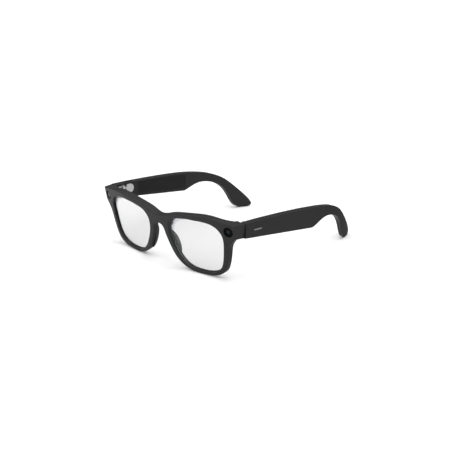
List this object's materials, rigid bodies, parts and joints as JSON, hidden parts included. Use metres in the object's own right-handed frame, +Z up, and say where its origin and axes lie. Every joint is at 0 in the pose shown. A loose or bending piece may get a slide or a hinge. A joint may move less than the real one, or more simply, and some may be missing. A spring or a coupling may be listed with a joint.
{
  "type": "smart glasses",
  "caption": "Black square-rimmed glasses with clear lenses, camera and indicator windows in the front corners, and folding electronics-filled temples.",
  "frame": {"origin": "bottom centre of the open glasses: on the mid-plane between the lenses, halfway from the front to the temple tips, at the level of the lowest rim and tip", "axes": "+Z up, +Y from the front towards the ears, +X towards the wearer's left; open temples"},
  "size_m": [0.1438, 0.1552, 0.0455],
  "materials": {
    "frame_black": "fine satin injection moulding",
    "temple_black": "fine satin injection moulding",
    "cover_black": "satin",
    "clear_lens": "polished clear",
    "ring_black": "gloss",
    "window_dark": "polished dark",
    "window_grey": "polished",
    "hinge_steel": "brushed",
    "screw_steel": "turned",
    "inlay_silver": "satin",
    "core_steel": "drawn wire",
    "board_green": "solder mask",
    "shield_metal": "pressed sheet",
    "battery_wrap": "foil pouch",
    "speaker_black": "moulded",
    "mesh_metal": "woven mesh",
    "flex_amber": "polyimide film",
    "contact_gold": "plated",
    "mic_can": "metal can",
    "button_black": "satin",
    "barrel_black": "matt",
    "lamp_white": "clear over phosphor",
    "dome_metal": "stamped"
  },
  "bodies": {
    "front": {"camera_barrel": "barrel_black", "camera_board": "board_green", "camera_ring": "ring_black", "camera_window": "window_dark", "charging_contacts": "contact_gold", "front_flex": "flex_amber", "front_shell": "frame_black", "hinge_leaf_front_left": "hinge_steel", "hinge_leaf_front_right": "hinge_steel", "hinge_screw_left": "screw_steel", "hinge_screw_right": "screw_steel", "indicator_board": "board_green", "indicator_lamp": "lamp_white", "indicator_ring": "ring_black", "indicator_window": "window_grey", "lens_left": "clear_lens", "lens_right": "clear_lens", "nose_microphone": "mic_can", "rear_shell": "frame_black"},
    "temple_left": {"battery": "battery_wrap", "hinge_leaf_temple_left": "hinge_steel", "inlay_left": "inlay_silver", "microphone_left": "mic_can", "speaker_left": "speaker_black", "speaker_mesh_left": "mesh_metal", "switch_base": "speaker_black", "temple_core_left": "core_steel", "temple_cover_left": "cover_black", "temple_flex_left": "flex_amber", "temple_shell_left": "temple_black"},
    "temple_right": {"antenna": "flex_amber", "button_board": "board_green", "button_dome": "dome_metal", "hinge_leaf_temple_right": "hinge_steel", "inlay_right": "inlay_silver", "main_board": "board_green", "microphone_right": "mic_can", "processor_shield": "shield_metal", "speaker_mesh_right": "mesh_metal", "speaker_right": "speaker_black", "temple_core_right": "core_steel", "temple_cover_right": "cover_black", "temple_flex_right": "flex_amber", "temple_shell_right": "temple_black", "touch_strip": "flex_amber"},
    "capture_button": {"capture_button": "button_black"},
    "power_switch": {"power_slider": "button_black"}
  },
  "joints": [
    {"name": "fold_left", "type": "hinge", "parent": "front", "child": "temple_left", "pos_m": [0.0643, -0.0549, 0.03805], "axis": [0, 0, 1], "range_deg": [0, 86]},
    {"name": "fold_right", "type": "hinge", "parent": "front", "child": "temple_right", "pos_m": [-0.0643, -0.0549, 0.03805], "axis": [0, 0, -1], "range_deg": [0, 72]},
    {"name": "capture_press", "type": "slide", "parent": "temple_right", "child": "capture_button", "axis": [0, -0.0349, -0.9994], "range_m": [0, 0.00025], "stiffness_N_per_m": 400},
    {"name": "power_slide", "type": "slide", "parent": "temple_left", "child": "power_switch", "axis": [0, 0.996, -0.0889], "range_m": [0, 0.0018]}
  ]
}
